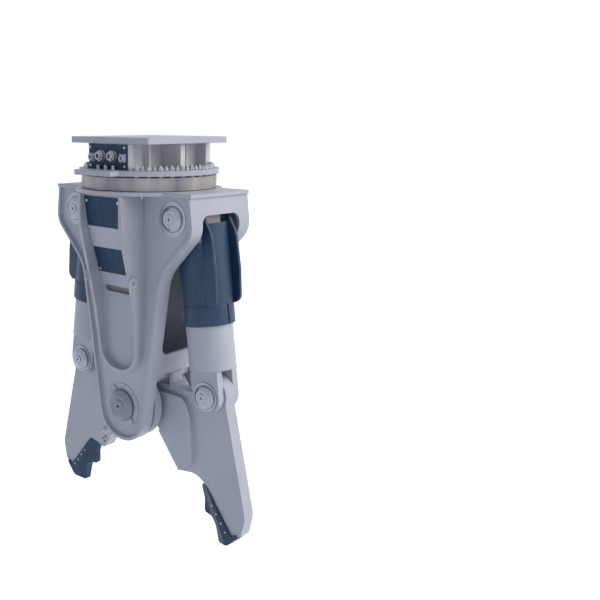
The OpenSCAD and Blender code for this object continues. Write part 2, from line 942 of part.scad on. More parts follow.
module rib_ear() {
    translate([rib_w, -rib_ear_reach, under_z - rib_ear_drop])
        rotate([0, 90, 0])
            difference() {
                cylinder(h = rib_ear_t, r = rib_ear_r);
                translate([0, 0, rib_ear_hole_depth])
                    cylinder(h = rib_ear_t, r = rib_ear_hole_r);
            }
}

module front_rib() {
    rib();
    color(steel_paint)
        left_and_right()
            rib_ear();
}

module rear_rib() {
    mirror([0, 1, 0])
        rib();
}

seat_points = reach_points(seat_shares);
// The access hole in the seat stays this far from its edges
seat_rim = 34;
seat_hole_rise = 102;

// A plate of given thickness that follows the slope, its outer face moved forward by lift
module sloped_plate(x, from_z, to_z, thick, lift) {
    intersection() {
        side_profile(-x, x)
            translate([0, under_z])
                polygon(concat(
                    [for (p = seat_points) [p[0] - lift, p[1]]],
                    [for (i = [len(seat_points) - 1:-1:0]) [seat_points[i][0] - lift + thick, seat_points[i][1]]]
                ));
        box(-x, x, -rib_reach - deck_w, -plate_y, to_z, from_z);
    }
}

seat_end_z = under_z + seat_points[2][1];
seat_bend_z = under_z + seat_points[1][1];

module cover_seat() {
    color(steel_paint)
        difference() {
            sloped_plate(channel_x, under_z, seat_end_z, seat_t, 0);
            side_and_front_hole(service_x - seat_rim, seat_bend_z, seat_end_z + seat_hole_rise, service_r);
        }
}

// Rounded hole seen from the front, cut through everything forward of the slew axis
module side_and_front_hole(half_w, top_z, end_z, r) {
    slab(-rib_reach - over, 0)
        polygon(rounded([[half_w, top_z, r], [half_w, end_z, r], [-half_w, end_z, r], [-half_w, top_z, r]]));
}

cover_drop = 18;
cover_top_z = under_z - cover_drop;
lip_h = 80;
cover_end_z = seat_end_z + lip_h;

module front_cover() {
    color(blue_paint)
        sloped_plate(channel_x - cover_edge, cover_top_z, cover_end_z, cover_t, cover_t);
}

band_h = 122;

module cover_band() {
    color(steel_paint)
        sloped_plate(channel_x - cover_edge, seat_bend_z - cover_edge, seat_bend_z - cover_edge - band_h,
            band_t, cover_t + band_t);
}

cover_bolt_r = 9;
cover_bolt_h = 7;
cover_bolt_in = 22;

// Slope of each half of the seat, from the vertical
upper_slope = atan((seat_points[1][0] - seat_points[0][0]) / (seat_points[0][1] - seat_points[1][1]));
lower_slope = atan((seat_points[2][0] - seat_points[1][0]) / (seat_points[1][1] - seat_points[2][1]));

module cover_bolts() {
    color(bright_steel)
        for (x = [-1, 1], low = [0, 1]) {
            z = low == 0 ? cover_top_z - cover_bolt_in : cover_end_z + cover_bolt_in;
            slope = low == 0 ? upper_slope : lower_slope;
            face_y = seat_points[low][0] + (under_z + seat_points[low][1] - z) * tan(slope) - cover_t;
            translate([x * (channel_x - cover_edge - cover_bolt_in), face_y, z])
                rotate([slope, 0, 0])
                    bar(cover_bolt_r, -cover_bolt_h, 0, $fn = 6);
        }
}

// The valve block covers the lower end of the service opening from behind
valve_foot = 12;
valve_w = 2 * (service_x + valve_foot);
valve_h = 140;
valve_rise = 110;
valve_d = 80;
valve_spool_r = 22;

module flow_valve() {
    color(steel_dark)
        translate([0, -plate_in_y, under_z - service_top - service_h + valve_rise]) {
            box(-valve_w / 2, valve_w / 2, 0, valve_d, -valve_h, 0);
            translate([-valve_w / 2 - valve_spool_r, valve_d / 2, -valve_h / 2])
                rotate([0, 90, 0])
                    cylinder(h = valve_w + 2 * valve_spool_r, r = valve_spool_r);
        }
}

// Pins

ring_plate_h = 3;
notch_w = 14;
notch_h = 26;
main_ring_share = 1.9;
main_head_share = 1.35;
main_ring_r = main_pin_r * main_ring_share;
main_head_r = main_pin_r * main_head_share;
main_head_h = 13;
upper_dome = 20;
main_dome = 28;
lower_dome = 23;
// Profile of a cap: share of its radius, of its rim height and of its rise above the rim
cap_profile = [[0, 0, 0], [1, 0, 0], [1, 1, 0], [0.93, 1, 0.3], [0.66, 1, 0.75], [0.42, 1, 0.75],
    [0.38, 1, 1], [0.09, 1, 1], [0.09, 1, 0.4], [0, 1, 0.4]];

// Stepped cap with a small centre hole, standing out of the front face
module stepped_cap(r, rim, rise, y_face) {
    translate([0, y_face, 0])
        rotate([90, 0, 0])
            rotate_extrude()
                polygon([for (c = cap_profile) [c[0] * r, c[1] * rim + c[2] * rise]]);
}

module main_pin() {
    color(bare_steel)
        at_main() {
            bar(main_pin_r, -plate_y, plate_y);
            front_and_rear()
                stepped_cap(main_head_r, main_head_h, main_dome, -plate_y - ring_plate_h);
            front_and_rear()
                bar(main_pin_r, -plate_y - ring_plate_h, -plate_y);
        }
}

module main_pin_rings() {
    color(steel_dark)
        at_main()
            front_and_rear()
                difference() {
                    bar(main_ring_r, -plate_y - ring_plate_h, -plate_y);
                    bar(main_pin_r + pin_clear, -frame_y, 0);
                    for (i = [0:3])
                        rotate([0, 45 + i * 90, 0])
                            box(-notch_w / 2, notch_w / 2, -frame_y, 0, main_ring_r - notch_h, main_ring_r + over);
                }
}

cap_foot_h = 8;
cap_share = 1.66;
upper_ring_share = 2.26;

module upper_pin() {
    color(bright_steel)
        at_upper() {
            bar(upper_pin_r, -plate_y - ring_plate_h, plate_y + ring_plate_h);
            front_and_rear() {
                stepped_cap(upper_pin_r * cap_share, cap_foot_h, upper_dome,
                    -plate_y - ring_plate_h);
                bar(upper_pin_r * upper_ring_share, -plate_y - ring_plate_h, -plate_y);
            }
        }
}

module upper_pin_right() {
    upper_pin();
}

module upper_pin_left() {
    mirror([1, 0, 0])
        upper_pin();
}

// Jaws, drawn about the main pin with x outwards

jaw_y = jaw_t / 2;
hub_y = hub_t / 2;
cheek_in_y = hub_y + side_gap;
cheek_out_y = cheek_in_y + cheek_t;
bush_out_r = main_pin_r + bush_t;
lug_bush_r = lower_pin_r + bush_t;

// L-shaped stop on the jaw's top edge, which meets the side wall when the jaw is fully open
stop_x = 209;
stop_foot = 64;
stop_foot_h = 22;
stop_w = 26;
stop_clear = 2;

function jaw_corners(shares) = scaled(shares, jaw_w, jaw_h);

module jaw_shape(throat_shares) {
    polygon(rounded(jaw_corners(concat(jaw_top_shares, jaw_tip_shares, throat_shares))));
    translate([lower_x, lower_rise])
        circle(r = lug_r);
    translate([stop_x, jaw_h * jaw_top_shares[1][1] - over]) {
        square([stop_foot, stop_foot_h]);
        square([stop_w, wall_end_rise - jaw_h * jaw_top_shares[1][1] - stop_clear + over]);
    }
}

// The strip along the throat that the shear blade fills
module blade_shape(ends) {
    a = [ends[0][0] * jaw_w, ends[0][1] * jaw_h];
    b = [ends[1][0] * jaw_w, ends[1][1] * jaw_h];
    along = (b - a) / norm(b - a);
    inward = [-along[1], along[0]] * blade_w;
    polygon([a, b, b + inward, a + inward]);
}

module jaw_plate(throat_shares, blade_ends) {
    slab(-jaw_y, jaw_y)
        difference() {
            jaw_shape(throat_shares);
            blade_shape(blade_ends);
        }
}

module lug_bore() {
    translate([lower_x, 0, lower_rise])
        bar(lug_bush_r, -jaw_t, jaw_t);
}

module jaw_right() {
    color(steel_paint)
        at_main()
            difference() {
                union() {
                    jaw_plate(right_throat_shares, right_blade_shares);
                    bar(hub_r, -hub_y, hub_y);
                }
                bar(bush_out_r, -hub_t, hub_t);
                lug_bore();
            }
}

module jaw_right_doublers() {
    color(steel_paint)
        at_main()
            front_and_rear()
                difference() {
                    slab(-jaw_y - doubler_t, -jaw_y)
                        polygon(rounded(jaw_corners(right_doubler_shares)));
                    bar(hub_r, -hub_t, 0);
                    slab(-frame_y, 0)
                        blade_shape(right_blade_shares);
                }
}

// Hardened bar with bevelled long edges, clamped along the throat
module shear_blade(ends) {
    color(bare_steel)
        at_main()
            intersection() {
                slab(-blade_t / 2, blade_t / 2)
                    blade_shape(ends);
                blade_bevels(ends);
            }
}

module blade_bevels(ends) {
    a = [ends[0][0] * jaw_w, ends[0][1] * jaw_h];
    b = [ends[1][0] * jaw_w, ends[1][1] * jaw_h];
    length = norm(b - a);
    half = blade_t / 2;
    translate([a[0], 0, a[1]])
        rotate([0, -atan2(b[1] - a[1], b[0] - a[0]), 0])
            side_profile(-over, length + over)
                polygon([[-half, blade_w + over], [-half, blade_bevel], [-half + blade_bevel, -over],
                    [half - blade_bevel, -over], [half, blade_bevel], [half, blade_w + over]]);
}

module jaw_right_blade() {
    shear_blade(right_blade_shares);
}

// Cast tooth holder, sloped on both sides towards its biting edge
module tooth_holder() {
    a = [bite_shares[0][0] * jaw_w, bite_shares[0][1] * jaw_h];
    b = [bite_shares[1][0] * jaw_w, bite_shares[1][1] * jaw_h];
    length = norm(b - a);
    half = tooth_t / 2;
    edge = tooth_edge_t / 2;
    color(blue_paint)
        at_main()
            intersection() {
                slab(-half, half)
                    polygon(rounded(jaw_corners(tooth_shares)));
                translate([a[0], 0, a[1]])
                    rotate([0, -atan2(b[1] - a[1], b[0] - a[0]), 0])
                        side_profile(-length, 2 * length)
                            polygon([[-edge, -tooth_slope], [-edge, 0], [-half, tooth_slope], [-half, jaw_w],
                                [half, jaw_w], [half, tooth_slope], [edge, 0], [edge, -tooth_slope]]);
            }
}

tooth_bolt_h = 4;

module tooth_bolts() {
    color(bright_steel)
        at_main()
            front_and_rear()
                for (s = tooth_bolt_shares)
                    translate([s[0] * jaw_w, 0, s[1] * jaw_h])
                        bar(tooth_bolt_r, -tooth_t / 2 - tooth_bolt_h, -tooth_t / 2, $fn = 6);
}

module jaw_right_teeth() {
    tooth_holder();
}

module jaw_right_bolts() {
    tooth_bolts();
}

module jaw_right_bushes() {
    color(bronze)
        at_main() {
            difference() {
                bar(bush_out_r, -hub_y, hub_y);
                bar(main_pin_r + pin_clear, -hub_t, hub_t);
            }
            lug_bush();
        }
}

module lug_bush() {
    translate([lower_x, 0, lower_rise])
        difference() {
            bar(lug_bush_r, -jaw_y, jaw_y);
            bar(lower_pin_r + pin_clear, -jaw_t, jaw_t);
        }
}

// Clearance between the hub of the right jaw and the flat root of the left one
root_clear = 12;

// Plate with a thick root block between the cheeks, cut flat where it faces the hub
module jaw_left() {
    color(steel_paint)
        mirror([1, 0, 0])
            at_main()
                difference() {
                    union() {
                        jaw_plate(left_throat_shares, left_blade_shares);
                        slab(-cheek_in_y, cheek_in_y)
                            difference() {
                                polygon(rounded(jaw_corners(root_shares)));
                                blade_shape(left_blade_shares);
                            }
                    }
                    box(-jaw_w, hub_r + root_clear, -frame_y, frame_y, -jaw_h, jaw_h);
                    lug_bore();
                }
}

// Two cheeks that take the hub of the right jaw between them
module jaw_left_cheeks() {
    color(steel_paint)
        mirror([1, 0, 0])
            at_main()
                front_and_rear()
                    difference() {
                        slab(-cheek_out_y, -cheek_in_y)
                            difference() {
                                union() {
                                    polygon(rounded(jaw_corners(root_shares)));
                                    circle(r = cheek_r);
                                }
                                blade_shape(left_blade_shares);
                            }
                        bar(bush_out_r, -frame_y, 0);
                    }
}

// Outline of the stiffening plates on the left jaw
left_doubler_shares = [[0.43, 0.1, 0.04], [0.5, -0.03, 0.2], [0.52, -0.4, 0.05], [0.455, -0.53, 0.02],
    [0.4, -0.44, 0.02], [0.44, -0.1, 0.1]];

module jaw_left_doublers() {
    color(steel_paint)
        mirror([1, 0, 0])
            at_main()
                front_and_rear()
                    difference() {
                        slab(-jaw_y - doubler_t, -jaw_y)
                            polygon(rounded(jaw_corners(left_doubler_shares)));
                        slab(-frame_y, 0) {
                            polygon(rounded(jaw_corners(root_shares)));
                            blade_shape(left_blade_shares);
                        }
                    }
}

module jaw_left_blade() {
    mirror([1, 0, 0])
        shear_blade(left_blade_shares);
}

module jaw_left_teeth() {
    mirror([1, 0, 0])
        tooth_holder();
}

module jaw_left_bolts() {
    mirror([1, 0, 0])
        tooth_bolts();
}

module jaw_left_bushes() {
    color(bronze)
        mirror([1, 0, 0])
            at_main() {
                front_and_rear()
                    difference() {
                        bar(bush_out_r, -cheek_out_y, -cheek_in_y);
                        bar(main_pin_r + pin_clear, -frame_y, 0);
                    }
                lug_bush();
            }
}

// Cylinders, drawn for the right side

ear_in_y = jaw_y + ear_gap;
ear_out_y = ear_in_y + ear_t;

module barrel() {
    color(steel_paint)
        along_cylinder()
            difference() {
                union() {
                    translate([0, 0, barrel_foot])
                        cylinder(h = barrel_top - barrel_foot, r = barrel_r);
                    front_and_rear() {
                        bar(ear_r, -ear_out_y, -ear_in_y);
                        box(-ear_r, ear_r, -ear_out_y, -ear_in_y, 0, barrel_foot);
                    }
                }
                translate([0, 0, barrel_foot + barrel_end_t])
                    cylinder(h = pin_span, r = bore_r);
                bar(lower_pin_r, -barrel_r, barrel_r);
            }
}

module gland() {
    color(bare_steel)
        along_cylinder()
            translate([0, 0, barrel_top - gland_h])
                difference() {
                    cylinder(h = gland_h, r = bore_r);
                    translate([0, 0, -over])
                        cylinder(h = gland_h + 2 * over, r = rod_r + pin_clear);
                }
}

// The boss under the cap of the lower pin
boss_h = 6;
boss_share = 2.1;
lower_cap_share = 1.7;

module lower_pin() {
    color(bright_steel)
        along_cylinder() {
            bar(lower_pin_r, -ear_out_y, ear_out_y);
            front_and_rear() {
                bar(lower_pin_r * boss_share, -ear_out_y - boss_h, -ear_out_y);
                stepped_cap(lower_pin_r * lower_cap_share, cap_foot_h, lower_dome,
                    -ear_out_y - boss_h);
            }
        }
}

piston_foot = 8;

module rod() {
    color(bright_steel)
        along_cylinder() {
            translate([0, 0, barrel_foot + barrel_end_t + piston_foot])
                cylinder(h = piston_h, r = bore_r - pin_clear);
            translate([0, 0, barrel_foot + barrel_end_t + piston_foot])
                cylinder(h = eye_foot_z - barrel_foot - barrel_end_t - piston_foot, r = rod_r);
        }
}

guard_in_r = barrel_r + guard_clear;

module rod_eye() {
    color(steel_dark)
        along_cylinder()
            difference() {
                union() {
                    translate([0, 0, eye_foot_z])
                        cylinder(h = eye_foot_h, r = guard_in_r);
                    translate([0, 0, pin_span]) {
                        bar(eye_r, -eye_w / 2, eye_w / 2);
                        box(-eye_r, eye_r, -eye_w / 2, eye_w / 2, -eye_foot_top, 0);
                    }
                }
                translate([0, 0, pin_span])
                    bar(eye_bore_r, -barrel_r - guard_clear, barrel_r + guard_clear);
            }
}

module guard() {
    guard_r = guard_in_r + guard_t;
    color(guard_paint)
        along_cylinder()
            difference() {
                union() {
                    translate([0, 0, collar_foot])
                        cylinder(h = guard_top - collar_foot, r = guard_r);
                    intersection() {
                        translate([0, 0, collar_foot])
                            cylinder(h = pin_span - guard_drop - collar_foot, r = guard_r);
                        box(0, 2 * guard_r, -fin_y, fin_y, 0, pin_span);
                    }
                    translate([0, 0, collar_foot])
                        cylinder(h = collar_h, r = guard_r + collar_t);
                    front_and_rear()
                        slab(-fin_y - fin_t / 2, -fin_y + fin_t / 2)
                            polygon(rounded([for (s = fin_shares)
                                [s[0] * barrel_r, s[1] * pin_span, s[2] * barrel_r]]));
                }
                cylinder(h = 2 * pin_span, r = guard_in_r);
                translate([0, 0, collar_foot - over])
                    box(0, 2 * guard_r, -slot_w / 2, slot_w / 2, 0, collar_h + 2 * over);
            }
}

module barrel_right() {
    barrel();
}

module gland_right() {
    gland();
}

module lower_pin_right() {
    lower_pin();
}

module rod_right() {
    rod();
}

module rod_eye_right() {
    rod_eye();
}

module guard_right() {
    guard();
}

module barrel_left() {
    mirror([1, 0, 0])
        barrel();
}

module gland_left() {
    mirror([1, 0, 0])
        gland();
}

module lower_pin_left() {
    mirror([1, 0, 0])
        lower_pin();
}

module rod_left() {
    mirror([1, 0, 0])
        rod();
}

module rod_eye_left() {
    mirror([1, 0, 0])
        rod_eye();
}

module guard_left() {
    mirror([1, 0, 0])
        guard();
}

bracket_plate();
box_walls();
box_webs();
port_panel();
panel_bolts();
main_ports();
drain_ports();
tab_fittings();
slew_flange();
flange_bolts();
ring_outer();
slew_motor();
swivel_core();
ring_inner();
bearing_balls();
drive_pinion();
deck();
front_plate();
rear_plate();
side_wall_right();
side_wall_left();
hub_bands();
stop_bar();
front_rib();
rear_rib();
cover_seat();
front_cover();
cover_band();
cover_bolts();
swivel_housing();
flow_valve();
main_pin();
main_pin_rings();
upper_pin_right();
upper_pin_left();
jaw_right();
jaw_right_doublers();
jaw_right_blade();
jaw_right_teeth();
jaw_right_bolts();
jaw_right_bushes();
jaw_left();
jaw_left_cheeks();
jaw_left_doublers();
jaw_left_blade();
jaw_left_teeth();
jaw_left_bolts();
jaw_left_bushes();
barrel_right();
gland_right();
lower_pin_right();
rod_right();
rod_eye_right();
guard_right();
barrel_left();
gland_left();
lower_pin_left();
rod_left();
rod_eye_left();
guard_left();
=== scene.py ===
import math
import bmesh
import bpy
from mathutils import Euler, Matrix, Vector


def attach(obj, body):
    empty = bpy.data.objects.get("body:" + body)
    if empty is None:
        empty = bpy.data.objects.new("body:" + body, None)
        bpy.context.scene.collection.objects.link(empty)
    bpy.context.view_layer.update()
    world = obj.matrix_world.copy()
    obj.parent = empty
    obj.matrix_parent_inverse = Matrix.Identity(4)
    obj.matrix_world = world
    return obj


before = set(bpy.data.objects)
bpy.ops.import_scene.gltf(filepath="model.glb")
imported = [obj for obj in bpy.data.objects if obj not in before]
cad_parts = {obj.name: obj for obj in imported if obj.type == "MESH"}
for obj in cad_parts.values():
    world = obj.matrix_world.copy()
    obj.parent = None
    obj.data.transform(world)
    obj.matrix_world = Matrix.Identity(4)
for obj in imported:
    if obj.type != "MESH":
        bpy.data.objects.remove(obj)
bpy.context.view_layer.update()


# The room. A pale studio floor well below the hanging tool, bluish daylight from all round and
# one very wide soft lamp behind the right jaw, which lights the right faces and the tops.
SCENE = bpy.context.scene
FLOOR_Z, FLOOR_REACH, FLOOR_GLOW = -3.2, 30, 0.5
DAYLIGHT_STRENGTH = 0.44
LAMP_STRENGTH, LAMP_SPREAD = 2.15, math.radians(62)
TOWARDS_LAMP = Vector((0.74, 0.40, 0.54))


def linear(hex_colour):
    """Turns an sRGB hex colour such as 8F96AA into Blender's linear colour."""
    values = [int(hex_colour[i:i + 2], 16) / 255 for i in (0, 2, 4)]
    return tuple(v / 12.92 if v <= 0.04045 else ((v + 0.055) / 1.055) ** 2.4
                 for v in values) + (1,)


def add(tree, kind, settings=(), **inputs):
    """Adds a node, sets its properties, and sets or links its inputs by name or number."""
    node = tree.nodes.new(kind)
    for key, value in dict(settings).items():
        setattr(node, key, value)
    for key, value in inputs.items():
        numbered = key[0] == "i" and key[1:].isdigit()
        socket = node.inputs[int(key[1:])] if numbered else node.inputs[key.replace("_", " ")]
        if isinstance(value, bpy.types.NodeSocket):
            tree.links.new(value, socket)
        else:
            socket.default_value = value
    return node


def seen_directly(tree):
    """1 for rays from the camera, mirrors and glass, and 0 for the light on the object."""
    path = add(tree, "ShaderNodeLightPath")
    first = add(tree, "ShaderNodeMath", {"operation": "MAXIMUM"},
                i0=path.outputs["Is Camera Ray"], i1=path.outputs["Is Glossy Ray"])
    return add(tree, "ShaderNodeMath", {"operation": "MAXIMUM"}, i0=first.outputs[0],
               i1=path.outputs["Is Transmission Ray"]).outputs[0]


SCENE.view_settings.view_transform = "Standard"
world = bpy.data.worlds.new("daylight")
SCENE.world = world
world.use_nodes = True
tree = world.node_tree
tree.nodes.clear()
sky = add(tree, "ShaderNodeBackground", Color=linear("CFDDF2"), Strength=DAYLIGHT_STRENGTH)
backdrop = add(tree, "ShaderNodeBackground", Color=(1, 1, 1, 1), Strength=1.0)
both = add(tree, "ShaderNodeMixShader", i0=seen_directly(tree), i1=sky.outputs[0],
           i2=backdrop.outputs[0])
add(tree, "ShaderNodeOutputWorld", Surface=both.outputs[0])

shape = bmesh.new()
bmesh.ops.create_grid(shape, x_segments=1, y_segments=1, size=FLOOR_REACH,
                      matrix=Matrix.Translation((0, 0, FLOOR_Z)))
mesh = bpy.data.meshes.new("floor")
shape.to_mesh(mesh)
shape.free()
floor = bpy.data.objects.new("floor", mesh)
SCENE.collection.objects.link(floor)
# Matt studio paint, which also glows where it is seen directly, so the background stays white.
paint = bpy.data.materials.new("pale_studio_floor")
paint.use_nodes = True
tree = paint.node_tree
tree.nodes.clear()
matt = add(tree, "ShaderNodeBsdfDiffuse", Color=linear("E6E6EA"))
glow = add(tree, "ShaderNodeEmission", Color=(1, 1, 1, 1), Strength=seen_directly(tree))
glow_share = add(tree, "ShaderNodeMixShader", i0=FLOOR_GLOW, i1=matt.outputs[0],
                 i2=glow.outputs[0])
total = add(tree, "ShaderNodeAddShader", i0=glow_share.outputs[0], i1=matt.outputs[0])
add(tree, "ShaderNodeOutputMaterial", Surface=total.outputs[0])
mesh.materials.append(paint)

lamp = bpy.data.lights.new("side_lamp", "SUN")
lamp.energy = LAMP_STRENGTH
lamp.angle = LAMP_SPREAD
lamp.color = linear("FFF8F2")[:3]
lamp_holder = bpy.data.objects.new("side_lamp", lamp)
lamp_holder.rotation_euler = TOWARDS_LAMP.to_track_quat("Z", "Y").to_euler()
SCENE.collection.objects.link(lamp_holder)

# The camera's lens, shift, place and angles come from a fit to the edges and pins in the
# photograph.
view = bpy.data.cameras.new("photo_view")
view.sensor_width = 36
view.lens = 48.052
view.shift_x = 0.24545
view.shift_y = 0.02829
view.clip_end = 100
camera = bpy.data.objects.new("photo_view", view)
camera.location = (3.3018, -3.26599, 0.08741)
AZIMUTH, PITCH, ROLL = math.radians(45.06), math.radians(-13.79), math.radians(-0.05)
camera.rotation_euler = Euler((math.pi / 2 + PITCH, ROLL, AZIMUTH))
SCENE.collection.objects.link(camera)
SCENE.camera = camera


# Bracket: a square plate over a welded box of thick walls and webs, which bolts to the carrier.
# All of it is hot-rolled plate, sprayed with a satin two-component enamel, light grey with a
# touch of lavender; the inside of the box kept a warmer grey primer.
PLATE_UNDERSIDE, FLANGE_TOP = -0.034, -0.172
DUST = "8E8A86"


def object_place(tree):
    return add(tree, "ShaderNodeTexCoord").outputs["Object"]


def new_material(name):
    material = bpy.data.materials.new(name)
    material.use_nodes = True
    material.node_tree.nodes.clear()
    return material, material.node_tree


def dress(names, material):
    """Gives CAD nodes a material."""
    for name in names:
        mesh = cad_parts[name].data
        mesh.materials.clear()
        mesh.materials.append(material)


def painted(name, colour, worn_and_highlight_colour, rough, mottle=0.05, wear_and_highlight=0.4, specular=0.5, peel_scale=140.0,
            peel=0.06):
    """Sprayed enamel on steel plate: a little mottled, with dust, orange peel and lighter edges,
    partly rubbed paint and partly a painted highlight.

    Scales are repeats in a metre: clouds of 310 mm, grime of 53 mm and dust runs 38 mm wide. The
    orange peel of 7 mm is coarser than a real sprayed skin, so that it shows in the render.
    """
    material, tree = new_material(name)
    place = object_place(tree)
    cloud = add(tree, "ShaderNodeTexNoise", Vector=place, Scale=3.2, Detail=5.0, Roughness=0.6)
    grime = add(tree, "ShaderNodeTexNoise", Vector=place, Scale=19.0, Detail=6.0, Roughness=0.7)
    value = add(tree, "ShaderNodeMapRange", Value=cloud.outputs["Fac"], i1=0.3, i2=0.7,
                i3=1 - mottle, i4=1 + mottle)
    tint = add(tree, "ShaderNodeHueSaturation", Color=linear(colour), Value=value.outputs[0])
    runs = add(tree, "ShaderNodeMapping", Vector=place, Scale=(1, 1, 0.12))
    streaks = add(tree, "ShaderNodeTexNoise", Vector=runs.outputs[0], Scale=26.0, Detail=4.0,
                  Roughness=0.6)
    dust = add(tree, "ShaderNodeMapRange", Value=streaks.outputs["Fac"], i1=0.55, i2=0.8, i3=0.0,
               i4=0.14)
    dusty = add(tree, "ShaderNodeMix", {"data_type": "RGBA"}, i0=dust.outputs[0],
                i6=tint.outputs[0], i7=linear(DUST))
    # Where the rounded normal turns away from the plain one there is an edge, drawn lighter:
    # partly rubbed paint and partly a painted highlight.
    rounded = add(tree, "ShaderNodeBevel", {"samples": 4}, Radius=0.006)
    plain = add(tree, "ShaderNodeNewGeometry")
    turn = add(tree, "ShaderNodeVectorMath", {"operation": "DOT_PRODUCT"}, i0=rounded.outputs[0],
               i1=plain.outputs["Normal"])
    worn_and_highlight_edge = add(tree, "ShaderNodeMapRange", Value=turn.outputs["Value"], i1=0.995, i2=0.85, i3=0.0,
               i4=wear_and_highlight)
    broken = add(tree, "ShaderNodeMapRange", Value=grime.outputs["Fac"], i1=0.42, i2=0.6, i3=0.15,
                 i4=1.0)
    amount = add(tree, "ShaderNodeMath", {"operation": "MULTIPLY"}, i0=worn_and_highlight_edge.outputs[0],
                 i1=broken.outputs[0])
    mixed = add(tree, "ShaderNodeMix", {"data_type": "RGBA"}, i0=amount.outputs[0],
                i6=dusty.outputs[2], i7=linear(worn_and_highlight_colour))
    gloss = add(tree, "ShaderNodeMapRange", Value=grime.outputs["Fac"], i1=0.3, i2=0.7,
                i3=rough - 0.06, i4=rough + 0.08)
    skin = add(tree, "ShaderNodeTexNoise", Vector=place, Scale=peel_scale, Detail=2.0)
    bump = add(tree, "ShaderNodeBump", Strength=peel, Distance=0.001, Height=skin.outputs["Fac"],
               Normal=rounded.outputs[0])
    shader = add(tree, "ShaderNodeBsdfPrincipled", Base_Color=mixed.outputs[2],
                 Roughness=gloss.outputs[0], Specular_IOR_Level=specular, Normal=bump.outputs[0])
    add(tree, "ShaderNodeOutputMaterial", Surface=shader.outputs[0])
    return material


# Satin enamel gives broad soft highlights; its edges are drawn lighter, partly rubbed and partly a
# painted highlight.
grey_enamel = painted("light_grey_enamel", "B3B6BF", worn_and_highlight_colour="D0D2D9", rough=0.45, specular=0.4)
# Matt primer spreads the light evenly and looks a little warmer than the enamel. Its pale colour
# is partly its own and partly painted light that brightens the shaded inside of the box.
primer_with_painted_light = painted("warm_grey_primer_with_painted_light", "DDDADB", worn_and_highlight_colour="E4E2E2", rough=0.6, wear_and_highlight=0.2,
                      specular=0.3)
dress(["bracket_plate"], grey_enamel)
dress(["box_walls", "box_webs"], primer_with_painted_light)

# Fillet welds join every wall and web to the plate above and the flange below. Under the enamel
# they keep their ripples, about 4 mm apart.
weld_enamel = painted("enamelled_weld", "AEB1BD", worn_and_highlight_colour="C9CAD2", rough=0.5, mottle=0.08, wear_and_highlight=0.1,
                      specular=0.4, peel_scale=230.0, peel=0.7)
SHARP, SAME_POINT = 0.4, 2e-5
BOX_BEAD = 0.0055


def weld(node, keep, radius, body, name=None):
    """Lays a bead along those sharp edges of a CAD node whose points keep() accepts."""
    shape = bmesh.new()
    shape.from_mesh(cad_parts[node].data)
    bmesh.ops.remove_doubles(shape, verts=shape.verts, dist=SAME_POINT)
    seam = {e for e in shape.edges
            if e.calc_face_angle(0) > SHARP and all(keep(v.co) for v in e.verts)}
    bmesh.ops.delete(shape, geom=[e for e in shape.edges if e not in seam], context="EDGES")
    bmesh.ops.delete(shape, geom=shape.faces[:], context="FACES_ONLY")
    bmesh.ops.delete(shape, geom=[v for v in shape.verts if not v.link_edges], context="VERTS")
    if not shape.edges:
        shape.free()
        raise SystemExit("no seam found on " + node)
    mesh = bpy.data.meshes.new(name or node + "_weld")
    shape.to_mesh(mesh)
    shape.free()
    bead = bpy.data.objects.new(mesh.name, mesh)
    SCENE.collection.objects.link(bead)
    bpy.ops.object.select_all(action="DESELECT")
    bpy.context.view_layer.objects.active = bead
    bead.select_set(True)
    bpy.ops.object.convert(target="CURVE")
    bead = bpy.context.object
    bead.data.bevel_depth = radius
    bead.data.bevel_resolution = 2
    bead.data.use_fill_caps = True
    bpy.ops.object.convert(target="MESH")
    bead = bpy.context.object
    bead.name = name or node + "_weld"
    bead.data.materials.clear()
    bead.data.materials.append(weld_enamel)
    for face in bead.data.polygons:
        face.use_smooth = True
    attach(bead, body)


def near(value, target, gap=0.0006):
    return abs(value - target) < gap


for node in ("box_walls", "box_webs"):
    weld(node, lambda p: near(p.z, FLANGE_TOP), BOX_BEAD, "bracket", node + "_lower_weld")
    weld(node, lambda p: near(p.z, PLATE_UNDERSIDE), BOX_BEAD, "bracket", node + "_upper_weld")


# Port panel: dark petrol blue enamel on a flat plate, screwed on at its corners. The large and
# small fittings are zinc-plated steel with hexagons and threaded mouths, the blocks behind the
# small ones are enamelled with the box.
PORT_X, PORT_Z, PORT_MOUTH, PORT_BORE = 0.046, -0.100, -0.3495, 0.013
DRAIN_X, DRAIN_Z, DRAIN_MOUTH, DRAIN_BORE = 0.123, -0.108, -0.3345, 0.007
PORT_FOOT, PORT_HEXAGON = -0.3180, -0.3306
FRONT, UP = (0, -1, 0), (0, 0, 1)
# Dark satin enamel stays deep in colour, with dull highlights.
blue_enamel = painted("petrol_blue_enamel", "213B57", worn_and_highlight_colour="50667E", rough=0.46, mottle=0.08,
                      wear_and_highlight=0.35, specular=0.17)
dress(["port_panel"], blue_enamel)
dress(["drain_ports"], grey_enamel)


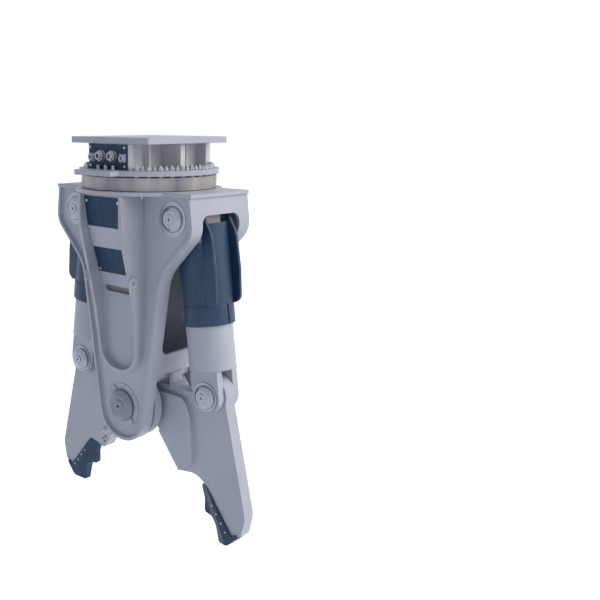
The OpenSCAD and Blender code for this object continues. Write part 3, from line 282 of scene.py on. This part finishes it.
def machined(name, colour, rough, streak=(1, 1, 1), metallic=0.85, stain_share=0.25,
             scale=30.0, contrast=0.14):
    """Turned or ground metal: brushed across, a little stained.

    At the usual scale the marks start at 33 mm and halve six times, to 0.5 mm. Real ones are
    finer still, and these are as coarse as they need to be to show. Stains are 140 mm wide.
    """
    material, tree = new_material(name)
    place = object_place(tree)
    stretched = add(tree, "ShaderNodeMapping", Vector=place, Scale=streak)
    line = add(tree, "ShaderNodeTexNoise", Vector=stretched.outputs[0], Scale=scale, Detail=6.0,
               Roughness=0.7)
    stain = add(tree, "ShaderNodeTexNoise", Vector=place, Scale=7.0, Detail=4.0)
    value = add(tree, "ShaderNodeMapRange", Value=line.outputs["Fac"], i1=0.3, i2=0.7,
                i3=1 - contrast, i4=1 + contrast)
    tone = add(tree, "ShaderNodeMapRange", Value=stain.outputs["Fac"], i1=0.35, i2=0.7, i3=0.0,
               i4=stain_share)
    warm = add(tree, "ShaderNodeMix", {"data_type": "RGBA"}, i0=tone.outputs[0],
               i6=linear(colour), i7=linear("8C8078"))
    tint = add(tree, "ShaderNodeHueSaturation", Color=warm.outputs[2], Value=value.outputs[0])
    gloss = add(tree, "ShaderNodeMapRange", Value=line.outputs["Fac"], i1=0.3, i2=0.7,
                i3=rough - 0.6 * contrast, i4=rough + 0.7 * contrast)
    rounded = add(tree, "ShaderNodeBevel", {"samples": 4}, Radius=0.003)
    bump = add(tree, "ShaderNodeBump", Strength=contrast, Distance=0.0005,
               Height=line.outputs["Fac"], Normal=rounded.outputs[0])
    shader = add(tree, "ShaderNodeBsdfPrincipled", Base_Color=tint.outputs[0], Metallic=metallic,
                 Roughness=gloss.outputs[0], Normal=bump.outputs[0])
    add(tree, "ShaderNodeOutputMaterial", Surface=shader.outputs[0])
    return material


# Zinc plating is a cool, clouded grey with a soft gloss.
zinc = machined("zinc_plated_steel", "A9ADB6", rough=0.4, metallic=0.7)
dress(["panel_bolts", "main_ports", "tab_fittings"], zinc)


def finish(name, shape, material, body):
    """Turns a bmesh into a smooth-shaded piece with sharp corners, riding on a body."""
    bmesh.ops.recalc_face_normals(shape, faces=shape.faces)
    mesh = bpy.data.meshes.new(name)
    shape.to_mesh(mesh)
    shape.free()
    mesh.materials.append(material)
    for face in mesh.polygons:
        face.use_smooth = True
    mesh.set_sharp_from_angle(angle=math.radians(32))
    piece = bpy.data.objects.new(name, mesh)
    SCENE.collection.objects.link(piece)
    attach(piece, body)


def stand(shape, centre, normal, radius, height, segments=24, bevel=0.0, socket=0.0):
    """Adds a bevelled disc or hexagon that stands on a point, with an optional hex socket."""
    centre, normal = Vector(centre), Vector(normal).normalized()
    matrix = (Matrix.Translation(centre + normal * height / 2)
              @ normal.to_track_quat("Z", "Y").to_matrix().to_4x4())
    made = bmesh.ops.create_cone(shape, cap_ends=True, segments=segments, radius1=radius,
                                 radius2=radius, depth=height, matrix=matrix)
    verts = [v for v in made["verts"] if (v.co - centre).dot(normal) > height * 0.9]
    rim = {e for v in verts for e in v.link_edges if all(w in verts for w in e.verts)}
    if bevel:
        bmesh.ops.bevel(shape, geom=list(rim), offset=bevel, offset_type="OFFSET", affect="EDGES",
                        segments=2, profile=0.5, material=-1)
    if socket:
        bmesh.ops.create_cone(shape, cap_ends=True, segments=6, radius1=socket, radius2=socket,
                              depth=0.0016, matrix=matrix @ Matrix.Translation((0, 0, height / 2)))


def ring(shape, centre, normal, radius, wire, steps=36, sides=8):
    """Adds a round ring: a small circle spun once round an axis."""
    centre, normal = Vector(centre), Vector(normal).normalized()
    across = normal.orthogonal().normalized()
    matrix = (Matrix.Translation(centre + across * radius)
              @ normal.cross(across).to_track_quat("Z", "Y").to_matrix().to_4x4())
    made = bmesh.ops.create_circle(shape, cap_ends=False, segments=sides, radius=wire,
                                   matrix=matrix)
    edges = list({e for v in made["verts"] for e in v.link_edges})
    bmesh.ops.spin(shape, geom=made["verts"] + edges, cent=centre, axis=normal,
                   angle=2 * math.pi, steps=steps, use_merge=True)


shape = bmesh.new()
for x in (-PORT_X, PORT_X):
    stand(shape, (x, PORT_HEXAGON, PORT_Z), FRONT, radius=0.0305, height=0.009, segments=6,
          bevel=0.0012)
    ring(shape, (x, PORT_MOUTH, PORT_Z), FRONT, radius=0.0195, wire=0.0022)
    ring(shape, (x, PORT_FOOT, PORT_Z), FRONT, radius=0.0275, wire=0.0022)
for x in (-DRAIN_X, DRAIN_X):
    ring(shape, (x, DRAIN_MOUTH, DRAIN_Z), FRONT, radius=0.0160, wire=0.0020)
finish("port_hexagons", shape, zinc, "bracket")

# Each mouth shows the first four turns of its thread, as rings at the thread's pitch.
THREAD_PITCH, THREAD_START, THREAD_TURNS = 0.0032, 0.001, 4
shape = bmesh.new()
for x, z, mouth, bore in ((-PORT_X, PORT_Z, PORT_MOUTH, PORT_BORE),
                          (PORT_X, PORT_Z, PORT_MOUTH, PORT_BORE),
                          (-DRAIN_X, DRAIN_Z, DRAIN_MOUTH, DRAIN_BORE),
                          (DRAIN_X, DRAIN_Z, DRAIN_MOUTH, DRAIN_BORE)):
    for turn_count in range(THREAD_TURNS):
        y = mouth + THREAD_START + THREAD_PITCH * turn_count
        ring(shape, (x, y, z), FRONT, radius=bore, wire=0.0007, steps=28, sides=6)
# Blackened steel under oil is nearly black, with a soft grey sheen.
dark_steel = machined("oiled_black_steel", "2A2C30", rough=0.45, metallic=0.5)
finish("port_threads", shape, dark_steel, "bracket")

# Plugs with round crowns close the three small measuring points on the tab under the ports.
PLUG_SPACING, PLUG_Y, PLUG_SEAT, WASHER_Z = 0.060, -0.330, -0.1565, -0.1560
shape = bmesh.new()
for x in (-PLUG_SPACING, 0.0, PLUG_SPACING):
    stand(shape, (x, PLUG_Y, PLUG_SEAT), UP, radius=0.0095, height=0.009, segments=20,
          bevel=0.004)
    ring(shape, (x, PLUG_Y, WASHER_Z), UP, radius=0.0098, wire=0.0016, steps=24, sides=6)
finish("measuring_point_plugs", shape, zinc, "bracket")


# Slewing ring: a round flange with its tab and hex bolts, and a turned ring between flange and
# deck. The ring's steel is bare and oiled, brushed upright by its lathe's last cut, with broad
# upright bands of painted highlight.
dress(["slew_flange"], grey_enamel)
dress(["flange_bolts"], zinc)

# Slimmer zinc-plated studs stand between the bolts round the flange, clear of the tab and of
# the rear wall; each is a low nut with the rounded end of its stud.
STUD_CIRCLE, STUDS, NUT_HEIGHT = 0.358, 36, 0.014
TAB_REACH, WALL_REACH, WALL_BACK = 0.172, 0.205, 0.325
shape = bmesh.new()
for step in range(STUDS):
    angle = 2 * math.pi * step / STUDS
    x, y = STUD_CIRCLE * math.cos(angle), STUD_CIRCLE * math.sin(angle)
    under_ports = y < 0 and abs(x) < TAB_REACH
    at_rear_wall = y > 0 and abs(x) < WALL_REACH and y < WALL_BACK
    if not (under_ports or at_rear_wall):
        stand(shape, (x, y, FLANGE_TOP), UP, radius=0.012, height=NUT_HEIGHT, segments=6,
              bevel=0.001)
        stand(shape, (x, y, FLANGE_TOP + NUT_HEIGHT), UP, radius=0.0065, height=0.010,
              segments=16, bevel=0.0015)
finish("flange_studs", shape, zinc, "bracket")

# Upright bands about 110 mm wide, from a cool darker grey to a warm lighter one, are painted
# highlights on the turned steel, under fine lines of 14 mm.
# The real lines are finer, and these are drawn coarse enough to show.
material, tree = new_material("turned_ring_steel")
place = object_place(tree)
upright = add(tree, "ShaderNodeMapping", Vector=place, Scale=(1, 1, 0.02))
highlight_band_noise = add(tree, "ShaderNodeTexNoise", Vector=upright.outputs[0], Scale=9.0, Detail=3.0,
            Roughness=0.55)
fine = add(tree, "ShaderNodeTexNoise", Vector=upright.outputs[0], Scale=70.0, Detail=4.0,
           Roughness=0.7)
painted_highlight_share = add(tree, "ShaderNodeMapRange", Value=highlight_band_noise.outputs["Fac"], i1=0.38, i2=0.62,
                 i3=0.0, i4=1.0)
steel_tint = add(tree, "ShaderNodeMix", {"data_type": "RGBA"}, i0=painted_highlight_share.outputs[0],
                 i6=linear("7C7C86"), i7=linear("A6A19F"))
fine_value = add(tree, "ShaderNodeMapRange", Value=fine.outputs["Fac"], i1=0.3, i2=0.7, i3=0.88,
                 i4=1.10)
brushed = add(tree, "ShaderNodeHueSaturation", Color=steel_tint.outputs[2],
              Value=fine_value.outputs[0])
ring_gloss = add(tree, "ShaderNodeMapRange", Value=fine.outputs["Fac"], i1=0.3, i2=0.7, i3=0.34,
                 i4=0.5)
soft = add(tree, "ShaderNodeBevel", {"samples": 4}, Radius=0.004)
ring_bump = add(tree, "ShaderNodeBump", Strength=0.12, Distance=0.0005,
                Height=fine.outputs["Fac"], Normal=soft.outputs[0])
shader = add(tree, "ShaderNodeBsdfPrincipled", Base_Color=brushed.outputs[0], Metallic=0.35,
             Roughness=ring_gloss.outputs[0], Normal=ring_bump.outputs[0])
add(tree, "ShaderNodeOutputMaterial", Surface=shader.outputs[0])
dress(["ring_outer"], material)
# The turned parts inside are brighter and more metallic, with rings from the lathe.
turned_steel = machined("turned_steel", "9C9DA6", rough=0.38, streak=(1, 1, 12))
dress(["ring_inner", "drive_pinion", "bearing_balls", "swivel_core"], turned_steel)
# Primed castings are matt and dark, and the primed valve block behind the cover is paler.
iron = painted("primed_cast_iron", "6F6C70", worn_and_highlight_colour="8A8686", rough=0.6, mottle=0.08, wear_and_highlight=0.2,
               specular=0.3)
dress(["slew_motor", "swivel_housing"], iron)
valve_primer = painted("valve_block_primer", "A69E9B", worn_and_highlight_colour="B8B2AE", rough=0.6, mottle=0.08,
                       wear_and_highlight=0.2, specular=0.3)
dress(["flow_valve"], valve_primer)

# A rubber lip seals the gap between the turning deck and the ring above it. Moulded rubber is
# matt and near black, with a fine grain of 2.4 mm.
rubber, tree = new_material("sealing_rubber")
grain = add(tree, "ShaderNodeTexNoise", Vector=object_place(tree), Scale=420.0, Detail=2.0)
rubber_rough = add(tree, "ShaderNodeMapRange", Value=grain.outputs["Fac"], i1=0.3, i2=0.7,
                   i3=0.6, i4=0.8)
rubber_bump = add(tree, "ShaderNodeBump", Strength=0.2, Distance=0.0004,
                  Height=grain.outputs["Fac"])
shader = add(tree, "ShaderNodeBsdfPrincipled", Base_Color=linear("26272B"),
             Roughness=rubber_rough.outputs[0], Normal=rubber_bump.outputs[0])
add(tree, "ShaderNodeOutputMaterial", Surface=shader.outputs[0])
SEAL_Z, SEAL_RADIUS = -0.2795, 0.3805
shape = bmesh.new()
ring(shape, (0, 0, SEAL_Z), UP, radius=SEAL_RADIUS, wire=0.0016, steps=128)
finish("ring_lip_seal", shape, rubber, "frame")


# Frame: two large side plates between bent side walls, hung under the deck. Plates, walls, hub
# bands and ribs are one weldment in the same light grey enamel; the bars between the hub pads
# kept the warm primer.
dress(["deck", "front_plate", "rear_plate", "side_wall_right", "side_wall_left", "hub_bands",
       "front_rib", "rear_rib", "cover_seat"], grey_enamel)
dress(["stop_bar"], primer_with_painted_light)
MAIN = Vector((0, 0, -1.550))
UPPER_X, UPPER_Z = 0.394, -0.418
PLATE_FACE, PAD_INNER_FACE = 0.216, 0.160
PLATE_BEAD, RIB_BEAD, BAR_BEAD = 0.007, 0.006, 0.005


def on_plate_edge(y):
    """Accepts points of a plate's outline at one face, away from its pin holes and opening."""
    def keep(p):
        away_main = math.hypot(p.x, p.z - MAIN.z) > 0.09
        away_upper = math.hypot(abs(p.x) - UPPER_X, p.z - UPPER_Z) > 0.06
        away_opening = not (abs(p.x) < 0.150 and -0.88 < p.z < -0.385)
        return near(p.y, y) and away_main and away_upper and away_opening
    return keep


weld("front_plate", on_plate_edge(-PLATE_FACE), PLATE_BEAD, "frame")
weld("rear_plate", on_plate_edge(PLATE_FACE), PLATE_BEAD, "frame")
weld("front_rib", lambda p: near(p.y, -PLATE_FACE), RIB_BEAD, "frame")
weld("rear_rib", lambda p: near(p.y, PLATE_FACE), RIB_BEAD, "frame")
weld("stop_bar", lambda p: near(abs(p.y), PAD_INNER_FACE), BAR_BEAD, "frame")

# Grease nipples for the slewing ring sit under the deck's round edge.
DOWN = (0, 0, -1)
NIPPLE_X, NIPPLE_Y, DECK_UNDERSIDE, HEAD_Z = 0.250, -0.300, -0.3015, -0.3085
shape = bmesh.new()
for x in (-NIPPLE_X, NIPPLE_X):
    stand(shape, (x, NIPPLE_Y, DECK_UNDERSIDE), DOWN, radius=0.0095, height=0.007, segments=6,
          bevel=0.001)
    stand(shape, (x, NIPPLE_Y, HEAD_Z), DOWN, radius=0.0055, height=0.009, segments=16,
          bevel=0.002)
finish("grease_nipples", shape, zinc, "frame")


# Service cover: a folded plate in dark blue enamel on the sloping seat, with a bare light band
# across it. Hex bolts hold its corners, and small screws hold the ends of the band.
dress(["front_cover"], blue_enamel)
dress(["cover_band"], grey_enamel)
dress(["cover_bolts"], zinc)
SEAT_SLOPE = math.atan(102.0 / 358.8)
SEAT_NORMAL = Vector((0, -math.cos(SEAT_SLOPE), -math.sin(SEAT_SLOPE)))
SEAT_TOP_Y, SEAT_TOP_Z, BAND_PROUD = -0.3282, -0.4788, 0.012
SCREW_X = 0.137
shape = bmesh.new()
for x in (-SCREW_X, SCREW_X):
    for z in (-0.507, -0.585):
        y = SEAT_TOP_Y + (SEAT_TOP_Z - z) * math.tan(SEAT_SLOPE) - BAND_PROUD
        stand(shape, (x, y, z), SEAT_NORMAL, radius=0.0062, height=0.0035, segments=20,
              bevel=0.0012, socket=0.003)
finish("band_screws", shape, zinc, "frame")


# Pins: ground and oiled steel pins with stepped caps. The main pin's rings have four slots for
# the locking tool, and two bolted tabs keep each ring from turning.
# Ground steel is smooth, with clouds 110 mm wide, and mirrors the room softly; the main pin is
# drawn in a darker steel.
pin_steel = machined("ground_pin_steel", "969AA6", rough=0.26, metallic=0.72, stain_share=0.06,
                     scale=9.0, contrast=0.02)
main_pin_steel = machined("darker_pin_steel", "757985", rough=0.28, metallic=0.5, stain_share=0.06,
                          scale=9.0, contrast=0.03)
dress(["main_pin"], main_pin_steel)
dress(["upper_pin_right", "upper_pin_left", "lower_pin_right", "lower_pin_left"], pin_steel)
dress(["main_pin_rings"], grey_enamel)
KEEPER_LENGTH, KEEPER_THICKNESS, KEEPER_WIDTH = 0.040, 0.007, 0.026
KEEPER_MIDDLE, KEEPER_BOLT_SEAT, KEEPER_BOLT_SHIFT = 0.2225, 0.2255, 0.006
shape = bmesh.new()
bolts = bmesh.new()
for side in (-1, 1):
    for x, z in ((-0.066, 0.090), (0.070, -0.074)):
        out = Vector((x, 0, z)).normalized()
        face = Matrix((out, (0, side, 0), out.cross(Vector((0, side, 0))))).transposed().to_4x4()
        place = (Matrix.Translation(MAIN + Vector((x, side * KEEPER_MIDDLE, z))) @ face
                 @ Matrix.Diagonal((KEEPER_LENGTH, KEEPER_THICKNESS, KEEPER_WIDTH, 1)))
        made = bmesh.ops.create_cube(shape, size=1, matrix=place)
        edges = list({e for v in made["verts"] for e in v.link_edges})
        bmesh.ops.bevel(shape, geom=edges, offset=0.0015, offset_type="OFFSET", affect="EDGES",
                        segments=2, profile=0.5, material=-1)
        stand(bolts, MAIN + Vector((x, side * KEEPER_BOLT_SEAT, z)) + out * KEEPER_BOLT_SHIFT,
              (0, side, 0), radius=0.008, height=0.006, segments=6, bevel=0.001)
finish("ring_keepers", shape, grey_enamel, "frame")
finish("keeper_bolts", bolts, zinc, "frame")


# Jaws: 78 mm plate with thick stiffening plates welded on, hung on the main pin. The right
# jaw's hub turns between the two cheeks of the left one, in bronze bushes.
JAW_HALF_THICKNESS, JAW_BEAD = 0.039, 0.006
dress(["jaw_right", "jaw_left", "jaw_left_cheeks", "jaw_right_doublers", "jaw_left_doublers"],
      grey_enamel)
# Bored bronze is a warm yellow metal with fine rings.
bronze = machined("bearing_bronze", "B08D57", rough=0.4, streak=(1, 8, 1))
dress(["jaw_right_bushes", "jaw_left_bushes"], bronze)
for body in ("jaw_right", "jaw_left"):
    weld(body + "_doublers", lambda p: near(abs(p.y), JAW_HALF_THICKNESS), JAW_BEAD, body)

# Two plain holes in the left jaw's stiffening plate take the lifting gear for blade changes. Each
# is drawn as a thin near-black disc on the plate, a painted shade where the hole is.
DOUBLER_FACE = -0.0645
shape = bmesh.new()
for x, z in ((-0.358, -1.911), (-0.344, -1.928)):
    stand(shape, (x, DOUBLER_FACE, z), FRONT, radius=0.0075, height=0.0012, segments=20)
finish("lifting_hole_shade_discs", shape, dark_steel, "jaw_left")


# Shear blades: bars of hardened steel along the throat, each held by four countersunk socket
# screws. Grinding leaves them bright, with marks across and some brown staining.
blade_steel = machined("ground_blade_steel", "8F929B", rough=0.34, streak=(1, 9, 1), metallic=0.8,
                       stain_share=0.35)
dress(["jaw_right_blade", "jaw_left_blade"], blade_steel)
JAW_W, JAW_H, SCREW_SUNK = 0.795, 0.742, 0.0006
for side, body, ends in ((1, "jaw_right", ((0.162, -0.236), (0.372, -0.513))),
                         (-1, "jaw_left", ((0.19, -0.2143), (0.409, -0.488)))):
    start, end = (MAIN + Vector((side * e[0] * JAW_W, 0, e[1] * JAW_H)) for e in ends)
    along = (end - start).normalized()
    out = Vector((along.z, 0, -along.x)) * side
    shape = bmesh.new()
    for share in (0.12, 0.37, 0.63, 0.88):
        stand(shape, start.lerp(end, share) - out * SCREW_SUNK, out, radius=0.013,
              height=0.0014, segments=28, socket=0.0065)
    finish("blade_screws_" + body, shape, dark_steel, body)


# Tooth holders: wear-resistant castings at the jaw tips, bolted through the jaw. Their dark blue
# enamel lies over the grain of the sand mould, about 11 mm, and its edges are drawn lighter,
# partly worn and partly a painted highlight.
tooth_enamel = painted("blue_enamel_on_casting", "2C4158", worn_and_highlight_colour="67727F", rough=0.52, mottle=0.12,
                       wear_and_highlight=0.5, specular=0.25, peel_scale=90.0, peel=0.25)
dress(["jaw_right_teeth", "jaw_left_teeth"], tooth_enamel)
dress(["jaw_right_bolts", "jaw_left_bolts"], zinc)


# Cylinders: grey enamelled barrels with clevis ears, which hang on the jaws and slide out of
# their guards as the jaws close. Rods are hard chromed, and the rod eyes are forgings in beige
# primer.
dress(["barrel_right", "barrel_left"], grey_enamel)
# Polished hard chrome is a clean, bright mirror.
chrome = machined("hard_chrome", "D0D2D6", rough=0.12, metallic=1.0, stain_share=0.0)
dress(["rod_right", "rod_left"], chrome)
dress(["gland_right", "gland_left"], turned_steel)
# Forgings in primer are pale and half matt.
beige_primer = painted("beige_primer", "B4AEAD", worn_and_highlight_colour="CFC8C0", rough=0.55, mottle=0.06, wear_and_highlight=0.3,
                       specular=0.3)
dress(["rod_eye_right", "rod_eye_left"], beige_primer)
LOWER_X, LOWER_Z = 0.530, -1.403
BARREL_FOOT, BARREL_RIM, EAR_FACE, BARREL_BEAD = 0.150, 0.1305, 0.0865, 0.006
for side, name in ((1, "right"), (-1, "left")):
    foot = Vector((side * LOWER_X, 0, LOWER_Z))
    axis = (Vector((side * UPPER_X, 0, UPPER_Z)) - foot).normalized()
    weld("barrel_" + name, lambda p: near((p - foot).dot(axis), BARREL_FOOT)
         and abs(p.y) < EAR_FACE and (p - foot - axis * BARREL_FOOT).length < BARREL_RIM,
         BARREL_BEAD, "barrel_" + name)


# Guards: rolled sleeves with two flame-cut fins, which ride on the rod eyes and cover the
# barrels. Their dark blue enamel shines softly, and the fins' edges are drawn bright in a pale
# blue-grey that is partly rubbed paint and partly a painted highlight.
guard_enamel = painted("guard_blue_enamel", "28405B", worn_and_highlight_colour="7F92A8", rough=0.40, mottle=0.10,
                       wear_and_highlight=0.55, specular=0.32)
dress(["guard_right", "guard_left"], guard_enamel)
